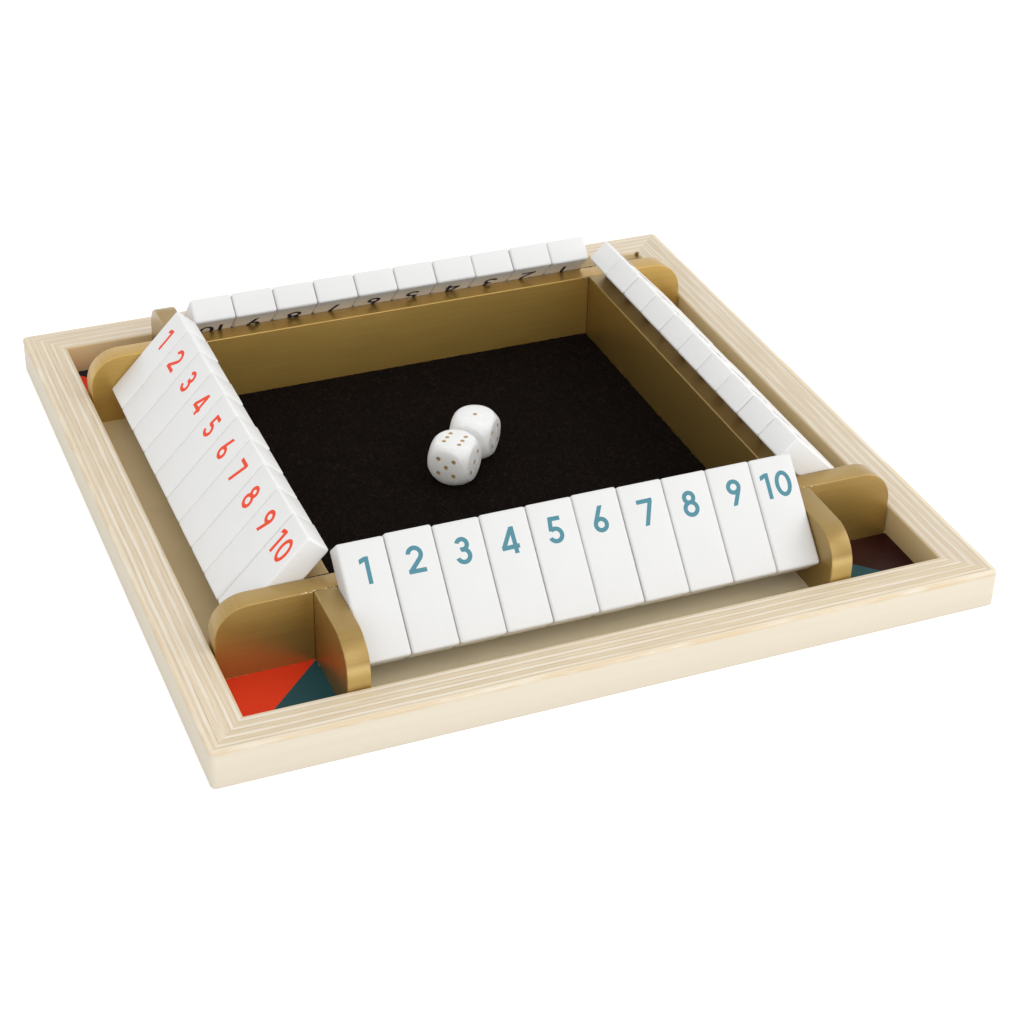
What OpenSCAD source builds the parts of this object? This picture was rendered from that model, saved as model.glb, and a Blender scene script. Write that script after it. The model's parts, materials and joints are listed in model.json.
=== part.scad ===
// Four-player shut-the-box game.
//
// A square tray stands in a mitred outer frame. Four rows of numbered tiles turn on hinge rods
// between the tray walls' ears. At rest every tile leans inward on the tray wall's outer top edge;
// turned over, it lies flat on the frame's rail. Two dice stand on the tray's felt.
// +Z is up. The origin is the centre of the underside.

/* [Tiles] */
// Number of tiles in each row
tile_count = 10; // [6:1:12]
// Width of a tile along its row
tile_w = 16.3; // [14:0.1:20]
// Thickness of a tile
tile_t = 10; // [8:0.5:11]
// Length of a tile below its hinge rod
tile_tail = 8.3; // [7:0.1:9]
// Radius of a tile's eased edges
tile_edge_r = 1; // [0.6:0.1:1.4]
// Gap between neighbouring tiles
tile_gap = 0.24; // [0.2:0.02:0.5]
// Gap between the end tiles of two rows where their upper corners meet
tile_corner_gap = 0.1; // [0.1:0.05:0.5]
// Gap between a leaning tile and the tray wall
lean_gap = 0.1; // [0.05:0.05:0.3]
// Gap between a tile turned over and the rail under it
flip_gap = 0.2; // [0.1:0.05:0.5]

/* [Hinge rods] */
// Diameter of a hinge rod
rod_d = 4; // [3:0.5:5]
// Running clearance around a rod in its tiles
rod_run_clear = 0.08; // [0.02:0.01:0.1]
// Depth of a rod's seat in an ear
rod_seat_depth = 5; // [3:0.5:6]
// Clearance around a rod's end in its seat
rod_seat_clear = 0.03; // [0.01:0.01:0.05]

/* [Tray walls] */
// Thickness of a tray wall
wall_t = 8; // [7:0.5:10]
// Height of a tray wall above the base board
wall_h = 27.5; // [25:0.5:30]
// Radius of the walls' eased top edges
wall_edge_r = 0.5; // [0.3:0.1:0.8]
// Radius of an ear's rounded top corner
ear_r = 12.5; // [6:0.5:15]
// Gap between an ear's end and the rail it faces
ear_gap = 0.5; // [0.2:0.1:1.5]
// Clearance in the halving joints between crossing walls
lap_clear = 0.05; // [0.02:0.01:0.15]

/* [Frame] */
// Width of the channel between a tray wall and its rail
channel_w = 34.3; // [31:0.1:40]
// Width of a rail
rail_w = 15; // [12:0.5:20]
// Height of a rail
rail_h = 14; // [12:0.5:15]
// Radius of the rails' eased top edges
rail_edge_r = 0.8; // [0.4:0.1:1.5]
// Radius of the frame's outer upright corners
frame_corner_r = 2; // [0.5:0.1:3]

/* [Base board] */
// Thickness of the base board
base_t = 2.5; // [2:0.5:4]
// Depth of the rebate that holds the base board in the rails
rebate_depth = 5; // [3:0.5:8]
// Gap around the base board in its rebate
rebate_gap = 0.2; // [0.1:0.05:0.5]

/* [Felt] */
// Thickness of the felt
felt_t = 1.8; // [1:0.2:3]
// Gap between the felt and the tray walls
felt_gap = 0.3; // [0.2:0.1:1]

/* [Dice] */
// Width of a die across its flat faces
die_w = 16; // [12:0.5:18]
// Diameter of the ball that rounds a die's corners
die_ball_d = 21.2; // [20:0.2:25]
// Radius of the small fillet on a die's edges
die_edge_r = 1.5; // [0.8:0.1:2]
// Distance between neighbouring pips
pip_pitch = 3.05; // [2.5:0.05:3.5]
// Diameter of a pip
pip_d = 1.7; // [1.2:0.1:2]
// Depth of a pip
pip_depth = 0.35; // [0.2:0.05:0.5]
// Gap under a die, between it and the felt's nap
die_gap = 0.1; // [0.05:0.05:0.3]
// Place of the first die, from the tray's centre to the right
die_a_x = -8.6; // [-30:0.1:-8.5]
// Place of the first die, from the tray's centre to the back
die_a_y = -3.3; // [-30:0.1:0]
// Turn of the first die
die_a_turn = -44.7; // [-90:0.1:0]
// Place of the second die, from the tray's centre to the right
die_b_x = 4.9; // [4.9:0.1:30]
// Place of the second die, from the tray's centre to the back
die_b_y = 10.9; // [10.9:0.1:30]
// Turn of the second die
die_b_turn = -40.6; // [-90:0.1:0]

/* [Hidden] */
$fn = 64;
OVERLAP = 1;

// The sides in turn, anticlockwise from the front; each row is the front row turned about Z.
SIDES = ["front", "right", "back", "left"];
TURNS = [0, 90, 180, 270];

// Colours
PLYWOOD = "#dcc9a3";
GOLD_PAINT = "#a98f5e";
WHITE_PAINT = "#f2f2f0";

// Half widths from the centre line, from the tray outwards
tray_half = tile_count * (tile_w + tile_gap) / 2;
wall_half = tray_half + wall_t;
bay_half = wall_half + channel_w;
frame_half = bay_half + rail_w;

// Heights
wall_top = base_t + wall_h;
felt_top = base_t + felt_t;
die_bottom = felt_top + die_gap;

// Walls
wall_half_length = bay_half - ear_gap;

// Hinge rods: half way across the channel, and as high as lays a flipped tile flat on the rail
rod_offset = wall_half + channel_w / 2;
rod_z = rail_h + flip_gap + tile_t / 2;
rod_length = 2 * (tray_half + rod_seat_depth - rod_seat_clear);

// Leaning angle of a tile, up from level: its inner face is lean_gap from the wall's eased top edge
edge_run = channel_w / 2 + wall_edge_r;
edge_rise = wall_top - wall_edge_r - rod_z;
edge_reach = tile_t / 2 + lean_gap + wall_edge_r;
lean = atan2(edge_rise, edge_run) + asin(edge_reach / norm([edge_run, edge_rise]));

// Length of a tile above its rod: its upper inner edge stands over the tray wall's inner face,
// set back just enough for the end tiles of two rows to pass each other at the tray's corner
corner_set_back = tile_edge_r / sqrt(2) + tile_corner_gap / sqrt(2) - tile_gap / 2;
lean_run = rod_offset - tray_half - corner_set_back - sin(lean) * (tile_t / 2 - tile_edge_r);
tile_head = lean_run / cos(lean) + tile_edge_r;
tile_l = tile_tail + tile_head;

// Pips of each face, in pitches from its middle
PIPS = [
    [],
    [[0, 0]],
    [[-1, 1], [1, -1]],
    [[-1, 1], [0, 0], [1, -1]],
    [[-1, -1], [1, -1], [-1, 1], [1, 1]],
    [[-1, -1], [1, -1], [0, 0], [-1, 1], [1, 1]],
    [[-1, -1], [-1, 0], [-1, 1], [1, -1], [1, 0], [1, 1]]
];
// Numbers on a die's top, front, right, left, back and bottom, and the turns that bring up each face
FACE_TURNS = [[0, 0, 0], [90, 0, 0], [0, 90, 0], [0, -90, 0], [-90, 0, 0], [180, 0, 0]];
DIE_A_FACES = [6, 5, 3, 4, 2, 1];
DIE_B_FACES = [1, 2, 4, 3, 5, 6];

function two_digits(k) = str(k < 10 ? "0" : "", k);
function tile_name(side, k) = str("tile_", SIDES[side], "_", two_digits(k));

// A rectangle centred on the origin with its four corners rounded
module rounded_rectangle(w, h, r) {
    square([w, h - 2 * r], center = true);
    square([w - 2 * r, h], center = true);
    for (x = [-1, 1], y = [-1, 1])
        translate([x * (w / 2 - r), y * (h / 2 - r)])
            circle(r);
}

// A rectangle standing on the X axis, with its two upper corners rounded
module arched_rectangle(w, h, r) {
    translate([-w / 2, 0])
        square([w, h - r]);
    translate([-w / 2 + r, 0])
        square([w - 2 * r, h]);
    for (x = [-1, 1])
        translate([x * (w / 2 - r), h - r])
            circle(r);
}

// A block of the given size, centred on the origin, with every edge eased
module eased_block(size, r) {
    intersection() {
        linear_extrude(size.z, center = true)
            rounded_rectangle(size.x, size.y, r);
        rotate([90, 0, 0])
            linear_extrude(size.y, center = true)
                rounded_rectangle(size.x, size.z, r);
        rotate([0, 90, 0])
            linear_extrude(size.x, center = true)
                rounded_rectangle(size.z, size.y, r);
    }
}

// A board along X that stands on z = 0, with eased top edges and rounded top corners
module tray_board() {
    intersection() {
        rotate([90, 0, 0])
            linear_extrude(wall_t, center = true)
                arched_rectangle(2 * wall_half_length, wall_h, ear_r);
        rotate([90, 0, 90])
            linear_extrude(2 * wall_half_length, center = true)
                arched_rectangle(wall_t, wall_h, wall_edge_r);
    }
}

// The slots of a board along X for the two boards that cross it, from height low to high
module lap_slots(low, high) {
    for (x = [-1, 1])
        translate([x * (tray_half + wall_t / 2), 0, (low + high) / 2])
            cube([wall_t + 2 * lap_clear, wall_t + 2 * OVERLAP, high - low], center = true);
}

// Blind seats in the ears of a board along X, for the ends of the two rods that run across it.
// The board's inner face looks towards +Y.
module rod_seats() {
    for (x = [-1, 1])
        translate([x * rod_offset, wall_t / 2 + OVERLAP, rod_z - base_t])
            rotate([90, 0, 0])
                cylinder(r = rod_d / 2 + rod_seat_clear, h = rod_seat_depth + OVERLAP);
}

// Front and back walls: slotted from below, so that they run on over the side walls
module front_wall() {
    color(GOLD_PAINT)
        translate([0, -tray_half - wall_t / 2, base_t])
            difference() {
                tray_board();
                lap_slots(-OVERLAP, wall_h / 2 + lap_clear);
                rod_seats();
            }
}

// Side walls: slotted from above
module side_wall() {
    color(GOLD_PAINT)
        translate([0, -tray_half - wall_t / 2, base_t])
            difference() {
                tray_board();
                lap_slots(wall_h / 2 - lap_clear, wall_h + OVERLAP);
                rod_seats();
            }
}

// Rail of the front, mitred at both ends and rebated below for the base board
module rail() {
    color(PLYWOOD)
        intersection() {
            translate([0, -bay_half - rail_w / 2, 0])
                rotate([90, 0, 90])
                    linear_extrude(2 * frame_half, center = true)
                        difference() {
                            arched_rectangle(rail_w, rail_h, rail_edge_r);
                            translate([rail_w / 2 - rebate_depth, -OVERLAP])
                                square([rebate_depth + OVERLAP, base_t + OVERLAP]);
                        }
            linear_extrude(rail_h)
                intersection() {
                    polygon([[0, 0], [-2 * frame_half, -2 * frame_half], [2 * frame_half, -2 * frame_half]]);
                    rounded_rectangle(2 * frame_half, 2 * frame_half, frame_corner_r);
                }
        }
}

module base_board() {
    half = bay_half + rebate_depth - rebate_gap;
    color("#8e8265")
        translate([-half, -half, 0])
            cube([2 * half, 2 * half, base_t]);
}

module felt_pad() {
    half = tray_half - felt_gap;
    color("#17120f")
        translate([-half, -half, base_t])
            cube([2 * half, 2 * half, felt_t]);
}

// Rod of the front row
module hinge_rod() {
    color("silver")
        translate([-rod_length / 2, -rod_offset, rod_z])
            rotate([0, 90, 0])
                cylinder(d = rod_d, h = rod_length);
}

// A tile about its rod: the rod runs along X, the number face looks towards -Y
module tile_blank() {
    difference() {
        translate([0, 0, tile_head - tile_l / 2])
            eased_block([tile_w, tile_t, tile_l], tile_edge_r);
        rotate([0, 90, 0])
            cylinder(r = rod_d / 2 + rod_run_clear, h = tile_w + 2 * OVERLAP, center = true);
    }
}

// Tile k of the front row, counted from the left and leaning on its wall
module leaning_tile(k) {
    pitch = tile_w + tile_gap;
    color(WHITE_PAINT)
        translate([(k - (tile_count + 1) / 2) * pitch, -rod_offset, rod_z])
            rotate([lean - 90, 0, 0])
                tile_blank();
}

// The pips of one face, sunk as shallow round hollows into the top of a die
module pips(number) {
    // the ball whose cap is pip_d wide and pip_depth deep
    ball_r = (pip_d * pip_d / 4 + pip_depth * pip_depth) / (2 * pip_depth);
    for (p = PIPS[number])
        translate([p.x * pip_pitch, p.y * pip_pitch, die_w / 2 + ball_r - pip_depth])
            sphere(ball_r);
}

module die(faces) {
    difference() {
        intersection() {
            eased_block([die_w, die_w, die_w], die_edge_r);
            sphere(d = die_ball_d);
        }
        for (i = [0:5])
            rotate(FACE_TURNS[i])
                pips(faces[i]);
    }
}

module place_die(x, y, turn, faces) {
    color("#efefec")
        translate([x, y, die_bottom + die_w / 2])
            rotate([0, 0, turn])
                die(faces);
}

module turned(side) {
    rotate([0, 0, TURNS[side]])
        children();
}

base_board();
felt_pad();
front_wall();  // wall_front
turned(2) front_wall();  // wall_back
turned(3) side_wall();  // wall_left
turned(1) side_wall();  // wall_right
place_die(die_a_x, die_a_y, die_a_turn, DIE_A_FACES);  // die_a
place_die(die_b_x, die_b_y, die_b_turn, DIE_B_FACES);  // die_b
for (side = [0:3]) {
    turned(side) rail();
    turned(side) hinge_rod();
    for (k = [1:tile_count])
        turned(side) leaning_tile(k);
}
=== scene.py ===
"""Four-player shut-the-box game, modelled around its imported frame.

Rails, tray walls, felt, tiles, numerals and dice are built here and ride on the frame's bodies. The
base board and the hinge rods are the frame's own solids with a finish of their own. Lengths in the
settings are in metres, as in the frame, and +Z is up.
"""

import json
import math
import random

import bmesh
import bpy
from bpy.props import FloatProperty, FloatVectorProperty, IntProperty, PointerProperty
from mathutils import Matrix, Vector, noise


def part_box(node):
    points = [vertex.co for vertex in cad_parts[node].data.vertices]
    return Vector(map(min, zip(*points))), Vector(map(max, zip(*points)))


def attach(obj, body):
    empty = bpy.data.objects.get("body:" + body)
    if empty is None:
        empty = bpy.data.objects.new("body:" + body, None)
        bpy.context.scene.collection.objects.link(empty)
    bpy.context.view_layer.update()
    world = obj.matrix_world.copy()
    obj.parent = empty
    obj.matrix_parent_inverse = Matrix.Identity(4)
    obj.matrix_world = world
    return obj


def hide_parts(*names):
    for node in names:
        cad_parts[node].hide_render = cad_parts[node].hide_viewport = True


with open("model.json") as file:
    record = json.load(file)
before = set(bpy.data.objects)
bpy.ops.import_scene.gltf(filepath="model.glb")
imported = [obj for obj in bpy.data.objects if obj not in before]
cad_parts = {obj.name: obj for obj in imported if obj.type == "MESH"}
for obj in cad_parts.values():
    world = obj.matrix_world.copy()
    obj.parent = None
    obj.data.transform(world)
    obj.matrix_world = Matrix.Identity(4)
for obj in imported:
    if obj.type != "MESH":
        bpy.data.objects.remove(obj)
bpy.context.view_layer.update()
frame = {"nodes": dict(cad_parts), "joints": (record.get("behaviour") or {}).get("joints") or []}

bl_info = {
    "name": "Shut the Box Game",
    "version": (1, 0, 0),
    "blender": (4, 5, 0),
    "location": "3D View > Sidebar > Shut the Box",
    "description": "Builds the pieces of a four-player shut-the-box game",
    "category": "Add Mesh",
}

MM = 0.001
SIDES = ("front", "right", "back", "left")
BOX_BODY = "box"
TILE_COUNT = sum(name.startswith("tile_front_") for name in frame["nodes"])
SMOOTH_ANGLE = math.radians(40)
UNTURNED = Matrix.Identity(4)
# How far a cutter reaches past what it cuts
OVER = 1 * MM
# Places closer together than this count as one
NEAR = 0.01 * MM
# Corners closer to a cutting plane than this count as on it
ON_PLANE = 0.0001 * MM
# Corners closer together than this are welded
WELD = 0.0005 * MM
# Distance between the cuts that let a wall's edge be chipped
CHIP_STEP = 1.1 * MM


# -------------------- places in the frame

def about_z(side):
    """The angle between the front side and another side."""
    return math.radians(90) * SIDES.index(side)


def turned(side):
    """Turns the front side's own place to that of another side."""
    return Matrix.Rotation(about_z(side), 4, "Z")


def box_of(vertices, place):
    """Lowest and highest corner of some vertices, measured in a turned and shifted place."""
    back = place.inverted()
    corners = [back @ v.co for v in vertices]
    low = Vector(min(c[axis] for c in corners) for axis in range(3))
    high = Vector(max(c[axis] for c in corners) for axis in range(3))
    return low, high


def box_in(node, place=UNTURNED):
    """Lowest and highest corner of a frame node."""
    return box_of(frame["nodes"][node].data.vertices, place)


def tile_node(side, number):
    return f"tile_{side}_{number:02d}"


def hinge_of(node):
    return next(joint for joint in frame["joints"] if joint["child"] == node)


def tile_place(side, number):
    """Where a tile stands: its rod runs along X at the origin, its head is up Z, its number faces -Y."""
    node = tile_node(side, number)
    hinge = hinge_of(node)
    low, high = box_in(node, turned(side))
    lean = math.pi - math.radians(hinge["range_deg"][1])
    pivot = turned(side).inverted() @ Vector(hinge["pos_m"])
    pivot.x = (low.x + high.x) / 2
    return turned(side) @ Matrix.Translation(pivot) @ Matrix.Rotation(lean - math.pi / 2, 4, "X")


def colour(code):
    """A written colour such as dcc9a3 as linear red, green, blue."""
    channels = [int(code[i:i + 2], 16) / 255 for i in (0, 2, 4)]
    return tuple(c / 12.92 if c <= 0.04045 else ((c + 0.055) / 1.055) ** 2.4 for c in channels)


# -------------------- settings

def length(name, description, default, low=0.0, high=1.0):
    return FloatProperty(name=name, description=description, default=default, min=low, max=high,
                         precision=5, unit="LENGTH", subtype="DISTANCE")


def angle(name, description, degrees):
    return FloatProperty(name=name, description=description, default=math.radians(degrees),
                         unit="ROTATION", subtype="ANGLE")


def tint(name, part, code):
    return FloatVectorProperty(name=name, description="Colour of " + part, default=colour(code), min=0,
                               max=1, size=3, subtype="COLOR")


def amount(name, description, default, **kind):
    return FloatProperty(name=name, description=description, default=default, min=0, **kind)


class RailSettings(bpy.types.PropertyGroup):
    edge_radius: length("Edge radius", "Radius of the rails' eased top edges", 0.8 * MM)
    foot_radius: length("Foot radius", "Radius of the rails' eased lower outer edge", 0.5 * MM)
    corner_radius: length("Corner radius", "Radius of the frame's outer upright corners", 2.0 * MM)
    rebate_gap: length("Rebate gap", "Gap between the base board and its rebate", 0.2 * MM)
    first_ply: length("First ply", "Distance of the first pale ply from the outer face", 3.15 * MM)
    ply_pitch: length("Ply pitch", "Distance between neighbouring pale plies", 3.28 * MM)
    pale_ply: length("Pale ply", "Thickness of a pale ply", 0.8 * MM)
    pale: tint("Pale ply colour", "the plies that show their long grain", "ebe1cf")
    tan: tint("Tan ply colour", "the plies that show their end grain", "d9c8a9")
    blush: tint("Blushing ply colour", "the same plies where the wood is pinker", "e4d2b9")
    glue: tint("Glue line", "the glue lines beside the pale plies", "bfa988")
    veneer: tint("Veneer", "the face veneer", "e8deca")
    inside: tint("Inner face", "the rails' inner faces", "dcc698")
    worn: tint("Worn edge", "the face veneer where its edge is sanded", "e0cbaa")
    # A small dark spot at the inner edge of the back right corner
    knot: tint("Knot", "the small dark knot in the back right corner", "7a5a34")


class WallSettings(bpy.types.PropertyGroup):
    ear_radius: length("Ear radius", "Radius of the rounded top corners", 12.5 * MM)
    edge_radius: length("Edge radius", "Radius of the eased edges", 0.4 * MM)
    lap_clearance: length("Lap clearance", "Clearance in the halving joints", 0.05 * MM)
    seam_width: length("Seam width", "Width of the worn edge where two walls cross", 0.5 * MM)
    seam_wander: length("Seam wander", "How far a worn edge strays from straight", 0.22 * MM)
    chip_depth: length("Chip depth", "Depth of the chips in the edges near the crossings", 0.16 * MM)
    chip_reach: length("Chip reach", "How far from a crossing the edges are chipped", 11 * MM)
    chip_size: length("Chip size", "Size of a chip", 1.3 * MM)
    seat_clearance: length("Seat clearance", "Clearance around a rod in its seat", 0.03 * MM)
    gold: tint("Gold paint", "the gold paint", "b0904a")
    deep_gold: tint("Deep gold", "the gold paint between its streaks", "a98842")
    # Painted light: a lighter gold on the ends that face the front, where the front light falls
    end_gold: tint("End gold", "the gold paint on the ends that face the front", "cdb26e")
    # Painted shade: the crack where two walls meet is real, and its dark colour stands for the shade in the
    # gap; the same colour marks dark specks among the chips
    crack: length("Crack", "Half width of the dark crack in the paint where two walls meet", 0.24 * MM)
    crack_tint: tint("Crack colour", "the dark crack between two walls", "3c260c")
    chip_tint: tint("Chip colour", "the pale ground where the paint is chipped", "e9dab4")


class BaseSettings(bpy.types.PropertyGroup):
    lacquer: tint("Lacquer", "the base board in the channels", "d4bf95")
    # Painted light: a lighter lacquer in the front channel stands for the light that falls there
    front_lacquer: tint("Front lacquer", "the base board in the front channel", "fdefcd")
    bare: tint("Bare board", "the bare board that shows at the walls' feet", "d9cbb0")
    bare_line: length("Bare line", "Width of the bare line at a wall's foot", 0.5 * MM)
    front_paint: tint("Front paint", "the front player's corner triangle", "225059")
    right_paint: tint("Right paint", "the right player's corner triangle", "2a0409")
    back_paint: tint("Back paint", "the back player's corner triangle", "151a30")
    left_paint: tint("Left paint", "the left player's corner triangle", "ea3e20")


class FeltSettings(bpy.types.PropertyGroup):
    segments: IntProperty(name="Segments", description="Faces along a side of the felt", default=120,
                          min=10)
    wave: length("Wave", "How far the felt's surface rises and falls", 0.06 * MM)
    wave_size: length("Wave size", "Size of a wave in the felt", 9 * MM)
    ragged: length("Ragged edge", "How far the felt's cut edge strays", 0.8 * MM)
    ragged_size: length("Tooth size", "Size of a tooth of the felt's cut edge", 0.9 * MM)
    felt: tint("Felt", "the felt", "070403")
    fluff: tint("Fluff", "the felt's loose fibres", "2a1f18")


class TileSettings(bpy.types.PropertyGroup):
    edge_radius: length("Edge radius", "Radius of a tile's eased edges", 1.0 * MM)
    bore_clearance: length("Bore clearance", "Clearance between a tile's bore and its rod", 0.08 * MM)
    uneven_head: length("Uneven head", "How far a tile's upper end may fall short", 0.75 * MM)
    uneven_face: length("Uneven face", "How far a tile's number face differs from the others", 0.2 * MM)
    white: tint("White paint", "the tiles", "e8e8e7")


class NumeralSettings(bpy.types.PropertyGroup):
    height: length("Height", "Height of a numeral", 9.15 * MM)
    stroke: amount("Stroke", "Width of the stroke as a share of the height", 0.164, max=0.3,
                   subtype="FACTOR")
    drop: length("Drop", "Distance from a tile's upper end to the middle of its numeral", 10.2 * MM)
    ink: length("Ink", "Thickness of the printed ink", 0.04 * MM)
    crooked: angle("Crooked", "How far a printed numeral may be turned", 1.2)
    astray: length("Astray", "How far a printed numeral may lie from its place", 0.4 * MM)
    front_ink: tint("Front ink", "the front player's numerals", "4c8695")
    right_ink: tint("Right ink", "the right player's numerals", "6a2a2c")
    back_ink: tint("Back ink", "the back player's numerals", "15163a")
    left_ink: tint("Left ink", "the left player's numerals", "f2461c")


class DiceSettings(bpy.types.PropertyGroup):
    ball: length("Ball", "Diameter of the ball that rounds a die's corners", 21.2 * MM)
    pip_pitch: length("Pip pitch", "Distance between neighbouring pips", 3.05 * MM)
    pip_width: length("Pip width", "Diameter of a pip", 1.7 * MM)
    pip_depth: length("Pip depth", "Depth of a pip", 0.35 * MM)
    turn_a: angle("Turn of the first die", "How far the first die is turned about the upright", -44.7)
    turn_b: angle("Turn of the second die", "How far the second die is turned about the upright", -40.6)
    glow: length("Glow depth", "How deep light reaches into the dice", 14 * MM)
    body: tint("Die", "the dice", "f1f3f1")
    pip: tint("Pip", "the pips", "b49a68")


class StageSettings(bpy.types.PropertyGroup):
    azimuth: angle("Azimuth", "Direction of the camera round the game, from the front", -22.7732)
    elevation: angle("Elevation", "Height of the camera above the horizon", 33.2240)
    roll: angle("Roll", "Roll of the camera", 1.3474)
    distance: length("Distance", "Distance from the camera to its target", 806.5 * MM, high=10)
    target_x: length("Target X", "Place that the camera looks at, to the right", 4.956 * MM, -1)
    target_y: length("Target Y", "Place that the camera looks at, to the back", -27.13 * MM, -1)
    lens: amount("Lens", "Focal length in millimetres", 77.14, unit="CAMERA")
    floor: tint("Floor", "the floor", "dcdcdc")
    floor_size: length("Floor size", "Half width of the floor", 6, high=20)
    sky: amount("Sky", "Strength of the even light from all round", 0.91)
    right: amount("Right light", "Power of the right soft box in watts", 3.6, unit="POWER")
    front: amount("Front light", "Power of the front soft box in watts", 4.3, unit="POWER")
    lift: amount("Floor lift", "How much whiter the camera sees the floor", 0.5)


SETTINGS = {
    "game_rails": RailSettings,
    "game_walls": WallSettings,
    "game_base": BaseSettings,
    "game_felt": FeltSettings,
    "game_tiles": TileSettings,
    "game_numerals": NumeralSettings,
    "game_dice": DiceSettings,
    "game_stage": StageSettings,
}


# -------------------- finishes

def by_node(operation):
    """An operator that adds a node for its result."""
    return lambda first, second=0.0: first.tree.math(operation, first, second)


class Value:
    """What a shader node gives. Sums, products and comparisons of it add further nodes."""

    __add__ = by_node("ADD")
    __sub__ = by_node("SUBTRACT")
    __mul__ = by_node("MULTIPLY")
    __abs__ = by_node("ABSOLUTE")
    __gt__ = by_node("GREATER_THAN")
    __lt__ = by_node("LESS_THAN")

    def __init__(self, tree, socket):
        self.tree = tree
        self.socket = socket

    def __rsub__(self, other):
        return self.tree.math("SUBTRACT", other, self)


class Tree:
    """A node tree under construction: each method adds a node and gives back its value."""

    def __init__(self, tree):
        self.nodes = tree.nodes
        self.links = tree.links

    def set(self, socket, value):
        if isinstance(value, Value):
            self.links.new(value.socket, socket)
        elif socket.type == "RGBA" and len(value) == 3:
            socket.default_value = (*value, 1)
        else:
            socket.default_value = value

    def node(self, kind, inputs, output=0, **options):
        made = self.nodes.new("ShaderNode" + kind)
        for option, value in options.items():
            setattr(made, option, value)
        for socket, value in inputs.items():
            self.set(made.inputs[socket], value)
        return Value(self, made.outputs[output])

    def math(self, operation, a, b=0.0):
        return self.node("Math", {0: a, 1: b}, operation=operation)

    def seen(self):
        """1 where the camera, gloss or glass looks, and 0 for light that falls on other things."""
        camera, gloss, glass = (self.node("LightPath", {}, f"Is {way} Ray")
                                for way in ("Camera", "Glossy", "Transmission"))
        return self.math("MAXIMUM", self.math("MAXIMUM", camera, gloss), glass)


class Finish(Tree):
    """A material under construction."""

    def __init__(self, name, **surface):
        self.material = bpy.data.materials.new(name)
        self.material.use_nodes = True
        super().__init__(self.material.node_tree)
        self.surface = self.nodes["Principled BSDF"]
        for socket, value in surface.items():
            self.set(self.surface.inputs[socket.replace("_", " ")], value)

    def place(self, turn=0.0, shift=(0, 0, 0), scale=(1, 1, 1)):
        """Object coordinates in millimetres, turned about Z, stretched and then shifted."""
        point = self.node("TexCoord", {}, "Object")
        point = self.node("VectorRotate", {"Vector": point, "Angle": turn}, rotation_type="Z_AXIS")
        scale = tuple(s / MM for s in scale)
        return self.node("Mapping", {"Vector": point, "Location": shift, "Scale": scale})

    def split(self, vector):
        """The X, Y and Z of a vector."""
        made = self.node("SeparateXYZ", {0: vector})
        return [Value(self, output) for output in made.socket.node.outputs]

    def noise(self, scale, detail=2.0, roughness=0.5, distortion=0.0, place=None):
        """Noise that has as many waves in a millimetre as its scale says."""
        place = self.place() if place is None else place
        return self.node("TexNoise", {"Vector": place, "Scale": scale, "Detail": detail,
                                      "Roughness": roughness, "Distortion": distortion})

    def fade(self, value, low, high):
        """0 below low, 1 above high, and smooth between them; high may be the lower one."""
        return self.node("MapRange", {"Value": value, "From Min": low, "From Max": high},
                         interpolation_type="SMOOTHSTEP")

    def mix(self, factor, a, b, how="MIX"):
        # Sockets 6 and 7 and output 2 of this node are its colours
        return self.node("Mix", {0: factor, 6: a, 7: b}, 2, data_type="RGBA", blend_type=how)

    def tone(self, plain, value, spread):
        """A colour made lighter and darker by a value that varies about a half."""
        low, high = 1 - spread, 1 + spread
        factor = self.node("MapRange", {"Value": value, "To Min": low, "To Max": high}, clamp=False)
        scaled = self.node("VectorMath", {0: (1, 1, 1), "Scale": factor}, operation="SCALE")
        return self.mix(1.0, plain, scaled, "MULTIPLY")

    def bump(self, height, distance, strength):
        bumped = self.node("Bump", {"Height": height, "Distance": distance, "Strength": strength})
        self.set(self.surface.inputs["Normal"], bumped)

    def paint(self, shown, roughness=None):
        self.set(self.surface.inputs["Base Color"], shown)
        if roughness is not None:
            self.set(self.surface.inputs["Roughness"], roughness)
        return self.material


def shade(plain, share):
    return tuple(channel * share for channel in plain)


def blend(first, second, share):
    """A colour between two others."""
    return tuple(a + (b - a) * share for a, b in zip(first, second))


# How each rail's wood differs: how far its plies are shifted and how softly the pale ones end, in
# millimetres, the share of the pinker kind, and how light it is
RAIL_WOODS = {
    "front": (0.0, 0.3, 0.2, 0.94),
    "right": (0.5, 0.8, 0.6, 0.85),
    "back": (-0.3, 0.6, 0.7, 0.92),
    "left": (0.25, 0.4, 0.45, 0.96),
}
# Painted light and shade: how much lighter or darker each wall's gold and each row's white is made,
# standing in for how differently the light falls on each side
GOLD_PAINTED_LIGHT = {"front": 0.97, "right": 0.82, "back": 1.3, "left": 0.84}
WHITE_PAINTED_LIGHT = {"front": 0.91, "right": 1.03, "back": 0.98, "left": 1.03}


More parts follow.
